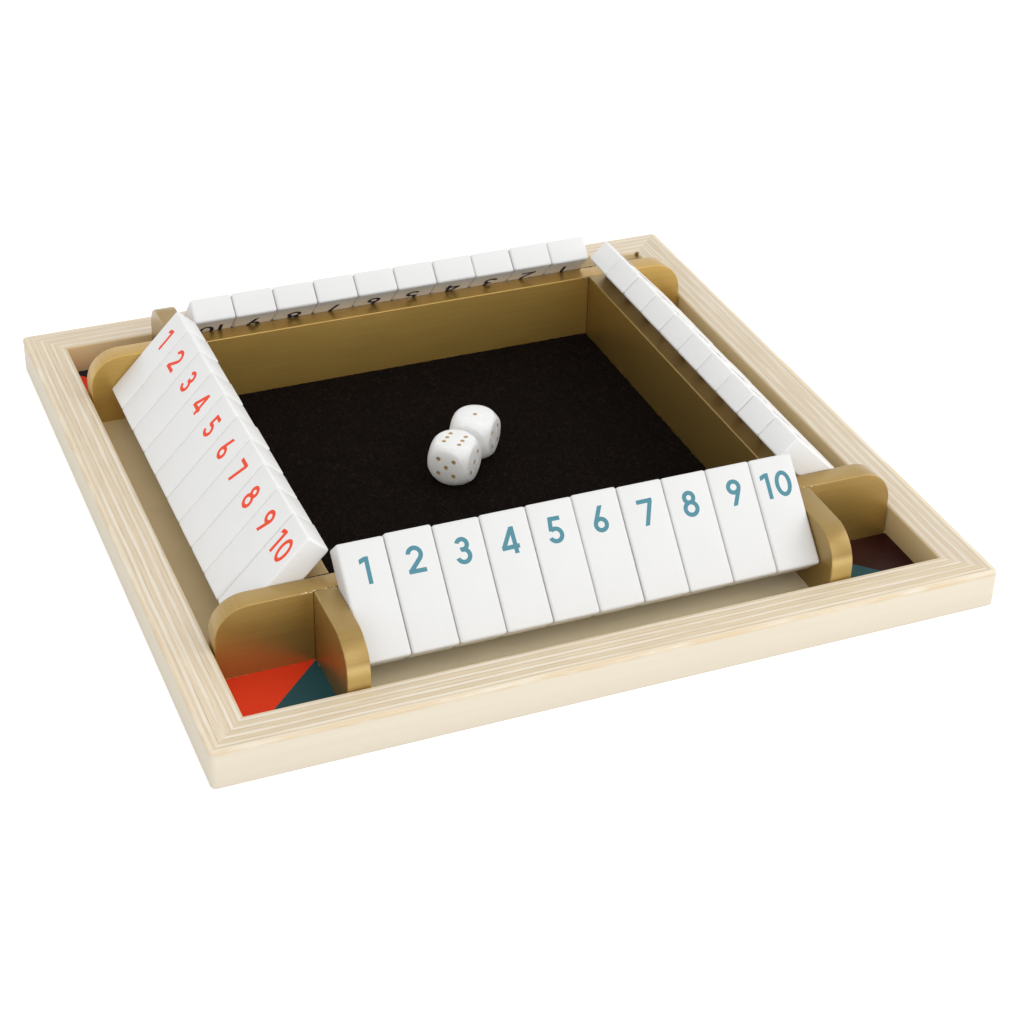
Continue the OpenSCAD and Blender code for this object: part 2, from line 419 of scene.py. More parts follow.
def birch_plywood(side, rails):
    """Plywood on edge: its plies run along the top, and its face veneer shows on the sides."""
    finish = Finish("birch_plywood_" + side, Specular_IOR_Level=0.35)
    ply_shift, blur, blush, lightness = RAIL_WOODS[side]
    outer, inner = box_in("rail_front")
    width = (inner.y - outer.y) / MM
    _, across, up = finish.split(finish.place(-about_z(side), (0, -outer.y / MM, 0)))

    def grain(stretch, lane_y, lane_z, *kind):
        """Noise that is stretched along the rail. The lane keeps one grain apart from another."""
        place = finish.place(-about_z(side), (37.0 * SIDES.index(side), lane_y, lane_z), stretch)
        return finish.noise(*kind, place=place)

    depth = (grain((0.02, 0.1, 0.02), 0, 0, 1.0) - 0.5) * 1.1 + across
    nearest = finish.math("PINGPONG", depth - (rails.first_ply / MM + ply_shift), rails.ply_pitch / MM / 2)
    half_ply = rails.pale_ply / MM / 2
    swell = (grain((0.04, 0.3, 0.1), 9, 0, 1.0, 2) - 0.5) * (2 * blur)
    is_pale = finish.fade(nearest + swell, half_ply + blur, half_ply - 0.1)
    is_pale = is_pale * finish.fade(grain((0.03, 0.32, 0.1), 4, 0, 1.0, 3), 0.2, 0.6)
    hairline = grain((0.02, 2.6, 0.1), 6, 0, 1.0, 3, 0.7)
    long_grain = grain((0.03, 1.6, 1.6), 5, 0, 2.2, 4, 0.6)
    end_grain = grain((0.55, 1.3, 0.8), 0, 9, 2.0, 4, 0.65)
    streaks = grain((0.05, 0.5, 0.5), 0, 3, 1.0, 3)
    pale = finish.tone(shade(rails.pale, lightness), long_grain, 0.07)
    tan = shade(blend(rails.tan, rails.blush, blush), lightness)
    tan = finish.tone(finish.tone(tan, end_grain, 0.1), streaks, 0.09)
    tan = finish.mix(finish.fade(hairline, 0.54, 0.7) * 0.75, tan, rails.pale)
    beside = finish.fade(abs(nearest - (half_ply + 0.4)), 0.3, 0.05)
    glued = beside * finish.fade(grain((0.05, 0.9, 0.1), 8, 0, 1.0, 3, 0.6), 0.4, 0.62)
    plies = finish.mix(is_pale, finish.mix(glued * 0.7, tan, rails.glue), pale)
    veneer = finish.tone(rails.veneer, grain((0.012, 0.6, 0.45), 0, 0, 1.0, 5, 0.6), 0.05)
    flecks = finish.fade(grain((0.35, 1, 1.6), 2, 0, 1.0, 2), 0.66, 0.74)
    veneer = finish.tone(veneer, 0.5 - flecks * 0.5, 0.04)
    from_edge = finish.math("MAXIMUM", depth, 0.0) + finish.math("MAXIMUM", inner.z / MM - up, 0.0)
    patches = grain((0.045, 0.3, 0.3), 7, 0, 1.0, 4, 0.6)
    sanded = finish.fade(from_edge, 1.9, 0.7) * finish.fade(patches, 0.34, 0.6)
    wood = finish.mix(finish.fade(depth, 1.5, 1.9), finish.mix(sanded, veneer, rails.worn), plies)
    wood = finish.mix(finish.fade(across, width - 0.5, width - 0.2), wood, rails.inside)
    # A small dark spot lies at the inner edge of the back right corner
    knot = (-inner.y / MM, -inner.y / MM, inner.z / MM - 1)
    from_spot = finish.node("VectorMath", {0: finish.place(), 1: knot}, "Value", operation="DISTANCE")
    wood = finish.mix(finish.fade(from_spot + finish.noise(1.3), 2.1, 1.2), wood, rails.knot)
    return finish.paint(wood, end_grain * 0.15 + 0.5)


def gold_paint(side, walls):
    """Satin gold paint over wood, brushed along the board."""
    finish = Finish("gold_paint_" + side, Metallic=0.7, Coat_Weight=0.75, Coat_Roughness=0.33)
    turn = -about_z(side)

    def brushed(stretch, *kind):
        place = finish.place(turn, (0, 0, 11.0 * SIDES.index(side)), stretch)
        return finish.noise(*kind, place=place)

    streaks = brushed((0.03, 0.07, 2.2), 1.0, 5, 0.62)
    fine = brushed((0.09, 0.2, 4.5), 1.0, 3, 0.6)
    clouds = brushed((0.05, 0.1, 0.12), 1.0, 3)
    specks = brushed((1, 1, 1), 2.6, 2)
    # Painted light and shade: this wall's gold is made lighter or darker for the light that falls on its
    # side
    deep, light = (shade(gold, GOLD_PAINTED_LIGHT[side]) for gold in (walls.deep_gold, walls.gold))
    gold = finish.mix(finish.fade(streaks, 0.3, 0.7), deep, light)
    # Painted light: the ends that face the front, and a narrow rim of the sides beside them, get a lighter
    # gold where the front light falls
    reach = box_in("wall_front")[1].x / MM
    painted_light_at_end = finish.fade(finish.split(finish.place())[1], 1.2 - reach, 0.3 - reach)
    gold = finish.mix(painted_light_at_end * 0.85, gold, walls.end_gold)
    gold = finish.tone(finish.tone(gold, clouds, 0.08), specks, 0.12)
    gold = worn_crossings(finish, gold, turn, walls)
    finish.bump(specks * 0.3 + streaks * 0.03 + fine * 0.1, 0.03 * MM, 0.35)
    return finish.paint(gold, fine * 0.06 + 0.39)


def worn_crossings(finish, gold, turn, walls):
    """Adds the cracks where two walls meet, darkened as painted shade in the gap, and chips in the top
    edges beside them.
    """
    low, high = box_in("wall_front")
    middle = -(low.y + high.y) / 2 / MM
    half = (high.y - low.y) / 2 / MM
    crack_width = walls.crack / MM
    chip_reach = walls.chip_reach / MM
    x, y, _ = finish.split(finish.place())
    wander = finish.noise(1.4, 3, 0.6) - 0.5
    from_face = wander * crack_width + abs(abs(abs(y) - middle) - half)
    crack = finish.fade(from_face, crack_width, crack_width / 3)
    crack = crack * finish.fade(abs(abs(x) - middle), half + 0.3, half + 0.1)
    along, across, up = finish.split(finish.place(turn))
    rim = finish.fade(abs(abs(across) - middle), half - 0.7, half - 0.3)
    rim = rim * finish.fade(up, high.z / MM - 0.8, high.z / MM - 0.4)
    rim = rim * finish.fade(abs(abs(along) - middle), chip_reach, 0.4 * chip_reach)
    specks = finish.noise(1.7, 2)
    gold = finish.mix(rim * finish.fade(specks, 0.55, 0.62), gold, walls.chip_tint)
    gold = finish.mix(rim * finish.fade(specks, 0.42, 0.36), gold, walls.crack_tint)
    # Painted shade: the crack between the walls is darkened for the shade in the gap
    return finish.mix(crack * 0.8, gold, walls.crack_tint)


def base_lacquer(base):
    """Greyish gold lacquer, with two players' triangles painted in each corner square."""
    finish = Finish("base_lacquer", Roughness=0.4, Specular_IOR_Level=0.2)
    x, y, z = finish.split(finish.place())
    wall = -box_in("wall_front")[0].y / MM
    board_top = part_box("base_board")[1].z / MM
    inner = finish.math("MINIMUM", abs(x), abs(y)) - wall
    cloud = finish.noise(0.06, 4, 0.6)
    brush = finish.noise(0.9, 4, 0.6, place=finish.place(scale=(0.15, 1.0, 1.0)))
    # Painted light: the front channel is given a lighter lacquer for the light that falls into it
    lacquer = finish.mix(y < -wall, base.lacquer, base.front_lacquer)
    lacquer = finish.tone(finish.tone(lacquer, cloud, 0.08), brush, 0.06)
    wobble = (finish.noise(0.8) - 0.5) * 0.3
    sideways = finish.fade(wobble + (abs(x) - abs(y)), -0.1, 0.1)
    sides = finish.mix(x > 0.0, base.left_paint, base.right_paint)
    ends = finish.mix(y > 0.0, base.front_paint, base.back_paint)
    paint = finish.tone(finish.mix(sideways, ends, sides), cloud, 0.1)
    edge = finish.noise(0.22) * (-2.4 * base.bare_line / MM) + inner
    paint = finish.mix(finish.fade(edge, -0.62, -0.72), paint, base.bare)
    board = finish.mix((inner > 0.0) * (z > board_top - 0.5), lacquer, paint)
    finish.bump(brush, 0.04 * MM, 0.4)
    return finish.paint(board)


def black_felt(felt):
    """Pressed felt: matt black with a tangle of slightly lighter fibres."""
    finish = Finish("black_felt", Roughness=1.0, Specular_IOR_Level=0.08, Sheen_Weight=0.05,
                    Sheen_Roughness=0.6, Sheen_Tint=(*felt.fluff, 1))
    fibres = finish.noise(0.8, 6, 0.75, 1.5, finish.place(scale=(1.0, 0.55, 1.0)))
    cross = finish.noise(0.95, 6, 0.75, 1.5, finish.place(0.9, scale=(1.0, 0.5, 1.0)))
    tangle = finish.math("MAXIMUM", fibres, cross)
    black = finish.mix(finish.fade(tangle, 0.5, 0.72), felt.felt, felt.fluff)
    finish.bump(tangle, 0.35 * MM, 0.8)
    return finish.paint(finish.tone(black, finish.noise(0.07, 3), 0.2))


def white_paint(side, tiles):
    """Satin white paint with a faint orange peel."""
    finish = Finish("white_paint_" + side, Roughness=0.38, Specular_IOR_Level=0.4)
    clouds = finish.noise(0.11, 3)
    peel = finish.noise(0.9, 4, 0.6)
    finish.bump(peel, 0.05 * MM, 0.35)
    # Painted light and shade: this row's white is made lighter or darker for the light that falls on its
    # side
    white = finish.tone(shade(tiles.white, WHITE_PAINTED_LIGHT[side]), clouds, 0.025)
    return finish.paint(finish.tone(white, peel, 0.012), peel * 0.16 + 0.32)


def numeral_ink(side, ink):
    """Screen-printed ink, a little uneven."""
    finish = Finish("numeral_ink_" + side, Specular_IOR_Level=0.3)
    mottle = finish.noise(1.1, 4, 0.6)
    return finish.paint(finish.tone(ink, mottle, 0.09), mottle * 0.2 + 0.38)


def die_plastic(dice):
    """Milky white plastic."""
    finish = Finish("die_plastic", Subsurface_Weight=1.0, Subsurface_Radius=(1.0, 1.0, 0.95),
                    Subsurface_Scale=dice.glow, Specular_IOR_Level=0.5, Coat_Weight=0.2,
                    Coat_Roughness=0.12)
    pearl = finish.noise(0.35, 4, 0.6)
    return finish.paint(finish.tone(dice.body, pearl, 0.03), pearl * 0.12 + 0.2)


def pip_paint(dice):
    """Gold paint in the pips."""
    finish = Finish("pip_paint", Metallic=0.3)
    mottle = finish.noise(2.5, 3)
    return finish.paint(finish.tone(dice.pip, mottle, 0.2), mottle * 0.2 + 0.35)


def drawn_steel():
    """Bright steel with fine lines from being drawn."""
    finish = Finish("drawn_steel", Metallic=1.0)
    drawn = finish.noise(1.5, 4, place=finish.place(scale=(0.2, 0.2, 4.0)))
    finish.bump(drawn, 0.02 * MM, 0.4)
    return finish.paint(finish.tone((0.56, 0.56, 0.57), drawn, 0.1), drawn * 0.2 + 0.25)


# -------------------- mesh helpers

def of_kind(geometry, kind):
    return [g for g in geometry if isinstance(g, kind)]


def span(edge, axis):
    """How far an edge reaches along an axis."""
    return abs(edge.verts[0].co[axis] - edge.verts[1].co[axis])


def block(low, high):
    """A closed block between two corners."""
    mesh = bmesh.new()
    size = Vector(high) - Vector(low)
    middle = (Vector(high) + Vector(low)) / 2
    bmesh.ops.create_cube(mesh, size=1, matrix=Matrix.Translation(middle) @ Matrix.Diagonal((*size, 1)))
    return mesh


def rod(low_x, high_x, radius):
    """A closed round bar along the X axis."""
    mesh = bmesh.new()
    place = Matrix.Translation(((low_x + high_x) / 2, 0, 0)) @ Matrix.Rotation(math.pi / 2, 4, "Y")
    bmesh.ops.create_cone(mesh, cap_ends=True, segments=32, radius1=radius, radius2=radius,
                          depth=high_x - low_x, matrix=place)
    return mesh


def cut_at(mesh, point, normal, clear=False):
    """Cuts a mesh along a plane, and with clear takes away what lies before the plane."""
    return bmesh.ops.bisect_plane(mesh, geom=mesh.verts[:] + mesh.edges[:] + mesh.faces[:], dist=ON_PLANE,
                                  plane_co=point, plane_no=normal, clear_outer=clear)


def moved(mesh, place):
    """Moves a mesh and gives it back."""
    bmesh.ops.transform(mesh, matrix=place, verts=mesh.verts)
    return mesh


def ease(mesh, edges, radius, segments=3):
    """Rounds edges over to a radius."""
    if radius > 0:
        bmesh.ops.bevel(mesh, geom=list(edges), offset=radius, offset_type="OFFSET", affect="EDGES",
                        segments=segments, profile=0.5, material=-1, clamp_overlap=True)


def as_object(mesh, name="part"):
    data = bpy.data.meshes.new(name)
    mesh.to_mesh(data)
    mesh.free()
    made = bpy.data.objects.new(name, data)
    bpy.context.scene.collection.objects.link(made)
    return made


def combine(mesh, other, operation="DIFFERENCE"):
    """A new mesh: the first one cut by, joined with or limited to the other. Both are used up."""
    pair = [as_object(mesh, "first"), as_object(other, "second")]
    for part in pair:
        # Two empty slots let the faces keep their material numbers
        part.data.materials.append(None)
        part.data.materials.append(None)
    step = pair[0].modifiers.new("combine", "BOOLEAN")
    step.operation = operation
    step.solver = "EXACT"
    step.object = pair[1]
    shown = pair[0].evaluated_get(bpy.context.evaluated_depsgraph_get())
    result = bmesh.new()
    result.from_mesh(shown.data)
    for part in pair:
        bpy.data.meshes.remove(part.data)
    return result


def merged(parts):
    """One mesh with copies of several closed parts that don't touch."""
    whole = bmesh.new()
    for part in parts:
        data = bpy.data.meshes.new("part")
        part.to_mesh(data)
        part.free()
        whole.from_mesh(data)
        bpy.data.meshes.remove(data)
    return whole


def piece(name, mesh, body, materials, stands_for=()):
    """Links a finished mesh as one piece that rides on a body."""
    bmesh.ops.remove_doubles(mesh, verts=mesh.verts, dist=WELD)
    bmesh.ops.recalc_face_normals(mesh, faces=mesh.faces)
    for face in mesh.faces:
        face.smooth = True
    for edge in mesh.edges:
        edge.smooth = edge.calc_face_angle(math.pi) < SMOOTH_ANGLE
    made = as_object(mesh, name)
    for material in materials:
        made.data.materials.append(material)
    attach(made, body)
    if stands_for:
        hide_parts(*stands_for)
    return made


# -------------------- rails

def frame_ring(rails):
    """The whole outer frame as one ring, before it is cut at its mitres."""
    low, high = box_in("rail_front")
    half, inner, top = -low.y, -high.y, high.z
    board_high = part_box("base_board")[1]
    ring = block((-half, -half, 0), (half, half, top))
    ease(ring, [e for e in ring.edges if span(e, 2) > NEAR], rails.corner_radius, 6)
    for level, radius, segments in ((top, rails.edge_radius, 4), (0, rails.foot_radius, 3)):
        rim = [e for e in ring.edges if all(abs(v.co.z - level) < NEAR for v in e.verts)]
        ease(ring, rim, radius, segments)
    ring = combine(ring, block((-inner, -inner, -OVER), (inner, inner, top + OVER)))
    ease(ring, [e for e in ring.edges if all(v.co.z > top - NEAR for v in e.verts)
                and all(max(abs(v.co.x), abs(v.co.y)) < inner + NEAR for v in e.verts)],
         rails.edge_radius, 4)
    rebate = board_high.x + rails.rebate_gap
    return combine(ring, block((-rebate, -rebate, -OVER), (rebate, rebate, board_high.z)))


def mitred(ring, side):
    """The part of the ring that belongs to one side."""
    rail = ring.copy()
    for sign in (-1, 1):
        made = cut_at(rail, (0, 0, 0), turned(side) @ Vector((sign, 1, 0)), clear=True)
        bmesh.ops.edgeloop_fill(rail, edges=of_kind(made["geom_cut"], bmesh.types.BMEdge))
    return rail


class SHUTTHEBOX_OT_rails(bpy.types.Operator):
    """Builds the four mitred plywood rails"""
    bl_idname = "shut_the_box.rails"
    bl_label = "Rails"

    def execute(self, context):
        rails = context.scene.game_rails
        ring = frame_ring(rails)
        for side in SIDES:
            piece("plywood_rail_" + side, mitred(ring, side), BOX_BODY, [birch_plywood(side, rails)],
                  ["rail_" + side])
        ring.free()
        return {"FINISHED"}


# -------------------- tray walls

def wall_board(low, high, walls):
    """A board along X with rounded top corners and eased edges."""
    board = bmesh.new()
    corners = ((low.x, low.z), (high.x, low.z), (high.x, high.z), (low.x, high.z))
    board.faces.new([board.verts.new((x, low.y, z)) for x, z in corners])
    bmesh.ops.bevel(board, geom=[v for v in board.verts if v.co.z > low.z], offset=walls.ear_radius,
                    offset_type="OFFSET", affect="VERTICES", segments=16, profile=0.5, material=-1)
    pushed = bmesh.ops.extrude_face_region(board, geom=board.faces[:], use_keep_orig=True)
    far = of_kind(pushed["geom"], bmesh.types.BMVert)
    bmesh.ops.translate(board, verts=far, vec=(0, high.y - low.y, 0))
    outline = [e for e in board.edges if span(e, 1) < NEAR and max(v.co.z for v in e.verts) > low.z + NEAR]
    ease(board, outline, walls.edge_radius, 3)
    return board


def lap_slots(low, high, crossing, bottom, top, walls):
    """Slots for the two boards that cross a board along X."""
    half = (high.y - low.y) / 2 + walls.lap_clearance
    return merged(block((x - half, low.y - OVER, bottom), (x + half, high.y + OVER, top))
                  for x in (-crossing, crossing))


def rod_seats(high, walls):
    """Blind seats for the ends of the two hinge rods that run across a board along X."""
    hinge = hinge_of(tile_node("front", 1))
    rod_low, rod_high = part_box("hinge_rod_front")
    radius = (rod_high.z - rod_low.z) / 2 + walls.seat_clearance
    seat_end = -rod_high.x - walls.seat_clearance
    bars = []
    for x in (-abs(hinge["pos_m"][1]), abs(hinge["pos_m"][1])):
        place = Matrix.Translation((x, 0, hinge["pos_m"][2])) @ Matrix.Rotation(math.pi / 2, 4, "Z")
        bars.append(moved(rod(seat_end, high.y + OVER, radius), place))
    return merged(bars)


def wear_seams(board, high, crossing, walls, rng):
    """Wears the top edges of a side wall's slots into a narrow uneven groove."""
    near = high.y + crossing + walls.lap_clearance + 5 * NEAR
    rims = [e for e in board.edges if span(e, 0) < NEAR
            and all(v.co.z > high.z - NEAR and abs(abs(v.co.x) - crossing) < near for v in e.verts)]
    cut = bmesh.ops.subdivide_edges(board, edges=rims, cuts=14)
    inner = of_kind(cut["geom_inner"], bmesh.types.BMVert)
    for vert in inner:
        away = math.copysign(1, abs(vert.co.x) - crossing) * math.copysign(1, vert.co.x)
        vert.co.x += rng.uniform(-0.2, 1) * walls.seam_wander * away
    wanted = set(inner)
    for vert in inner:
        wanted.update(v for e in vert.link_edges for v in e.verts if v.co.z > high.z - NEAR
                      and abs(v.co.x - vert.co.x) < 2 * walls.seam_wander)
    edges = [e for e in board.edges if all(v in wanted for v in e.verts) and span(e, 0) < span(e, 1)]
    ease(board, edges, walls.seam_width, 2)


def chip_edges(board, low, high, crossing, walls):
    """Chips the top edges of a board near the two places where it crosses the others."""
    steps = int(walls.chip_reach / CHIP_STEP)
    for middle in (-crossing, crossing):
        for k in range(-steps, steps + 1):
            cut_at(board, (middle + k * CHIP_STEP, 0, 0), (1, 0, 0))
    rim = walls.edge_radius * 1.05
    for vert in board.verts:
        apart = abs(abs(vert.co.x) - crossing)
        on_rim = vert.co.z > high.z - rim and min(vert.co.y - low.y, high.y - vert.co.y) < rim
        if on_rim and apart < walls.chip_reach:
            fall = 1 - apart / walls.chip_reach
            dent = max(0, noise.noise(vert.co / walls.chip_size)) * 2 * fall * walls.chip_depth
            inward = 1 if vert.co.y < (low.y + high.y) / 2 else -1
            vert.co += Vector((0, inward * dent, -dent))


class SHUTTHEBOX_OT_walls(bpy.types.Operator):
    """Builds the four gold tray walls with their halving joints and rod seats"""
    bl_idname = "shut_the_box.walls"
    bl_label = "Tray walls"

    def execute(self, context):
        walls = context.scene.game_walls
        rng = random.Random(4)
        for side in SIDES:
            node = "wall_" + side
            low, high = box_in(node, turned(side))
            crossing = -(low.y + high.y) / 2
            middle = (low.z + high.z) / 2
            if side in ("front", "back"):
                bottom, top = low.z - OVER, middle + walls.lap_clearance
            else:
                bottom, top = middle - walls.lap_clearance, high.z + OVER
            slots = lap_slots(low, high, crossing, bottom, top, walls)
            board = combine(wall_board(low, high, walls), slots)
            board = combine(board, rod_seats(high, walls))
            if top > high.z:
                wear_seams(board, high, crossing, walls, rng)
            chip_edges(board, low, high, crossing, walls)
            piece("gold_wall_" + side, moved(board, turned(side)), BOX_BODY, [gold_paint(side, walls)],
                  [node])
        return {"FINISHED"}


# -------------------- base board, rods and felt

class SHUTTHEBOX_OT_base(bpy.types.Operator):
    """Finishes the base board and the hinge rods"""
    bl_idname = "shut_the_box.base"
    bl_label = "Base board and rods"

    def execute(self, context):
        frame["nodes"]["base_board"].data.materials[0] = base_lacquer(context.scene.game_base)
        steel = drawn_steel()
        for side in SIDES:
            frame["nodes"]["hinge_rod_" + side].data.materials[0] = steel
        return {"FINISHED"}


def felt_sheet(low, high, felt):
    """A thick flat sheet with a slightly ragged cut edge and an uneven nap."""
    sheet = bmesh.new()
    half = (high.x - low.x) / 2
    inset = felt.ragged / 2
    bmesh.ops.create_grid(sheet, x_segments=felt.segments, y_segments=felt.segments, size=half - inset)
    for vert in sheet.verts:
        vert.co.z = felt.wave * (noise.noise(vert.co / felt.wave_size) - 0.5)
    for vert in [v for v in sheet.verts if v.is_boundary]:
        reach = max(abs(vert.co.x), abs(vert.co.y))
        stray = felt.ragged / 2 * noise.noise(vert.co / felt.ragged_size)
        vert.co += Vector((vert.co.x, vert.co.y, 0)) / reach * stray
    moved(sheet, Matrix.Translation((0, 0, high.z - felt.wave)))
    bottom = bmesh.ops.duplicate(sheet, geom=sheet.faces[:])
    for vert in of_kind(bottom["geom"], bmesh.types.BMVert):
        vert.co.z = low.z
    bmesh.ops.reverse_faces(sheet, faces=of_kind(bottom["geom"], bmesh.types.BMFace))
    bmesh.ops.bridge_loops(sheet, edges=[e for e in sheet.edges if e.is_boundary])
    return sheet


class SHUTTHEBOX_OT_felt(bpy.types.Operator):
    """Builds the black felt on the tray's floor"""
    bl_idname = "shut_the_box.felt"
    bl_label = "Felt"

    def execute(self, context):
        felt = context.scene.game_felt
        low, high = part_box("felt_pad")
        made = piece("tray_felt", felt_sheet(low, high, felt), BOX_BODY, [black_felt(felt)],
                     ["felt_pad"])
        return {"FINISHED"}


# -------------------- tiles

def tile_block(low, high, rod_radius, tiles, rng):
    """One tile in its own place: eased block with a bore for its rod."""
    face = low.y + rng.uniform(0, 1) * tiles.uneven_face
    head = high.z - rng.uniform(0, 1) * tiles.uneven_head
    tile = block((low.x, face, low.z), (high.x, high.y, head))
    ease(tile, tile.edges, tiles.edge_radius * rng.uniform(0.85, 1.1), 4)
    bore = rod(low.x - OVER, high.x + OVER, rod_radius + tiles.bore_clearance)
    return combine(tile, bore)


class SHUTTHEBOX_OT_tiles(bpy.types.Operator):
    """Builds the four rows of white tiles"""
    bl_idname = "shut_the_box.tiles"
    bl_label = "Tiles"

    def execute(self, context):
        tiles = context.scene.game_tiles
        rng = random.Random(12)
        rod_low, rod_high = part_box("hinge_rod_front")
        rod_radius = (rod_high.z - rod_low.z) / 2
        for side in SIDES:
            paint = white_paint(side, tiles)
            for number in range(1, TILE_COUNT + 1):
                node = tile_node(side, number)
                place = tile_place(side, number)
                low, high = box_in(node, place)
                tile = tile_block(low, high, rod_radius, tiles, rng)
                piece("white_" + node, moved(tile, place), node, [paint], [node])
        return {"FINISHED"}


# -------------------- numerals

# A figure is drawn with a pen one stroke wide in a box one unit high. x is measured from the figure's
# middle. The shapes are ("bar", from, to), ("arc", centre, outer radius, start and end angle) and
# ("ring", centre, outer radius across, outer radius up). Each figure starts with its half width.
FIGURES = {
    "0": (0.333, [("ring", (0, 0.5), 0.333, 0.5)]),
    "1": (0.180, [("bar", (0.101, -0.1), (0.101, 1.1)), ("bar", (-0.22, 0.815), (0.101, 0.945))]),
    "2": (0.333, [("arc", (0.0, 0.683), 0.317, 172, -45), ("bar", (0.169, 0.514), (-0.32, 0.025)),
                  ("bar", (-0.4, 0.079), (0.4, 0.079))]),
    "3": (0.314, [("arc", (0.02, 0.727), 0.273, 160, -108), ("arc", (0.0, 0.314), 0.314, 108, -166)]),
    "4": (0.341, [("bar", (0.18, -0.1), (0.18, 1.1)), ("bar", (-0.4, 0.257), (0.4, 0.257)),
                  ("bar", (-0.27, 0.27), (0.165, 0.965))]),
    "5": (0.320, [("bar", (-0.155, 0.921), (0.27, 0.921)), ("bar", (-0.108, 0.99), (-0.162, 0.47)),
                  ("arc", (-0.006, 0.313), 0.314, 133, -160)]),
    "6": (0.300, [("ring", (0, 0.293), 0.293, 0.293), ("bar", (0.14, 1.084), (-0.193, 0.386))]),
    "7": (0.314, [("bar", (-0.4, 0.921), (0.30, 0.921)), ("bar", (0.29, 1.05), (-0.13, -0.07))]),
    "8": (0.320, [("ring", (0, 0.735), 0.265, 0.265), ("ring", (0, 0.317), 0.317, 0.317)]),
}
FIGURE_GAP = 0.2
# Degrees between the corners of an arc
ARC_STEP = 7


def bar_stroke(start, end, stroke):
    """A straight stroke as a flat slab one unit thick."""
    start, end = Vector((*start, 0)), Vector((*end, 0))
    run = end - start
    place = Matrix.Translation((start + end) / 2) @ Matrix.Rotation(math.atan2(run.y, run.x), 4, "Z")
    slab = bmesh.new()
    bmesh.ops.create_cube(slab, size=1, matrix=place @ Matrix.Diagonal((run.length, stroke, 1, 1)))
    return slab


def arc_stroke(centre, radius, start, end, stroke):
    """A round stroke as a flat slab one unit thick: an upright rectangle spun about the centre."""
    slab = bmesh.new()
    first = Matrix.Translation((*centre, 0)) @ Matrix.Rotation(math.radians(start), 4, "Z")
    corners = [(radius, 0, -0.5), (radius, 0, 0.5), (radius - stroke, 0, 0.5), (radius - stroke, 0, -0.5)]
    face = slab.faces.new([slab.verts.new(first @ Vector(c)) for c in corners])
    steps = math.ceil(abs(end - start) / ARC_STEP)
    spun = bmesh.ops.spin(slab, geom=[face], cent=(*centre, 0), axis=(0, 0, 1), steps=steps,
                          angle=math.radians(end - start), use_duplicate=False)
    if not of_kind(spun["geom_last"], bmesh.types.BMFace):
        bmesh.ops.holes_fill(slab, edges=slab.edges[:])
    bmesh.ops.recalc_face_normals(slab, faces=slab.faces)
    return slab


def ring_stroke(centre, across, up, stroke):
    """A closed oval stroke as a flat slab one unit thick."""
    outer = bmesh.new()
    inner = bmesh.new()
    for mesh, width, height, depth in ((outer, across, up, 1), (inner, across - stroke, up - stroke, 3)):
        place = Matrix.Translation((*centre, 0)) @ Matrix.Diagonal((width, height, depth, 1))
        bmesh.ops.create_cone(mesh, cap_ends=True, segments=56, radius1=1, radius2=1, depth=1, matrix=place)
    return combine(outer, inner)


def figure(digit, stroke):
    """One digit as a closed slab: its strokes joined, and trimmed to its own box."""
    half_width, shapes = FIGURES["6" if digit == "9" else digit]
    draw = {"bar": bar_stroke, "arc": arc_stroke, "ring": ring_stroke}
    parts = [draw[kind](*sizes, stroke) for kind, *sizes in shapes]
    whole = parts[0]
    for part in parts[1:]:
        whole = combine(whole, part, "UNION")
    whole = combine(whole, block((-half_width, 0, -2), (half_width, 1, 2)), "INTERSECT")
    if digit == "9":
        moved(whole, Matrix.Translation((0, 1, 0)) @ Matrix.Rotation(math.pi, 4, "Z"))
    return whole


def numeral(number, figures):
    """A whole number centred on the origin, one unit high."""
    digits = str(number)
    widths = [2 * FIGURES["6" if d == "9" else d][0] for d in digits]
    left = -(sum(widths) + FIGURE_GAP * (len(digits) - 1)) / 2
    parts = []
    for digit, width in zip(digits, widths):
        parts.append(moved(figures[digit].copy(), Matrix.Translation((left + width / 2, -0.5, 0))))
        left += width + FIGURE_GAP
    return merged(parts)


class SHUTTHEBOX_OT_numerals(bpy.types.Operator):
    """Prints each tile's number on both of its faces"""
    bl_idname = "shut_the_box.numerals"
    bl_label = "Numerals"

    def execute(self, context):
        numerals = context.scene.game_numerals
        rng = random.Random(31)
        figures = {digit: figure(digit, numerals.stroke) for digit in "0123456789"}
        for side in SIDES:
            ink = numeral_ink(side, getattr(numerals, side + "_ink"))
            for number in range(1, TILE_COUNT + 1):
                self.print_tile(side, number, figures, ink, numerals, rng)
        for figure_mesh in figures.values():
            figure_mesh.free()
        return {"FINISHED"}

    def print_tile(self, side, number, figures, ink, numerals, rng):
        node = tile_node(side, number)
        place = tile_place(side, number)
        low, high = box_of(bpy.data.objects["white_" + node].data.vertices, place)
        middle = high.z - numerals.drop
        size = Matrix.Diagonal((numerals.height, numerals.height, numerals.ink, 1))
        # columns: where the figure's right, top and front point on the tile
        outer = Matrix(((1, 0, 0, 0), (0, 0, -1, low.y), (0, 1, 0, middle), (0, 0, 0, 1)))
        inner = Matrix(((1, 0, 0, 0), (0, 0, 1, high.y), (0, -1, 0, middle), (0, 0, 0, 1)))
        faces = []
        for face in (outer, inner):
            crooked = Matrix.Rotation(rng.uniform(-1, 1) * numerals.crooked, 4, "Z")
            astray = Matrix.Translation((rng.uniform(-1, 1) * numerals.astray,
                                         rng.uniform(-1, 1) * numerals.astray, 0))
            faces.append(moved(numeral(number, figures), place @ face @ astray @ crooked @ size))
        piece(f"numeral_{side}_{number:02d}", merged(faces), node, [ink])


# -------------------- dice

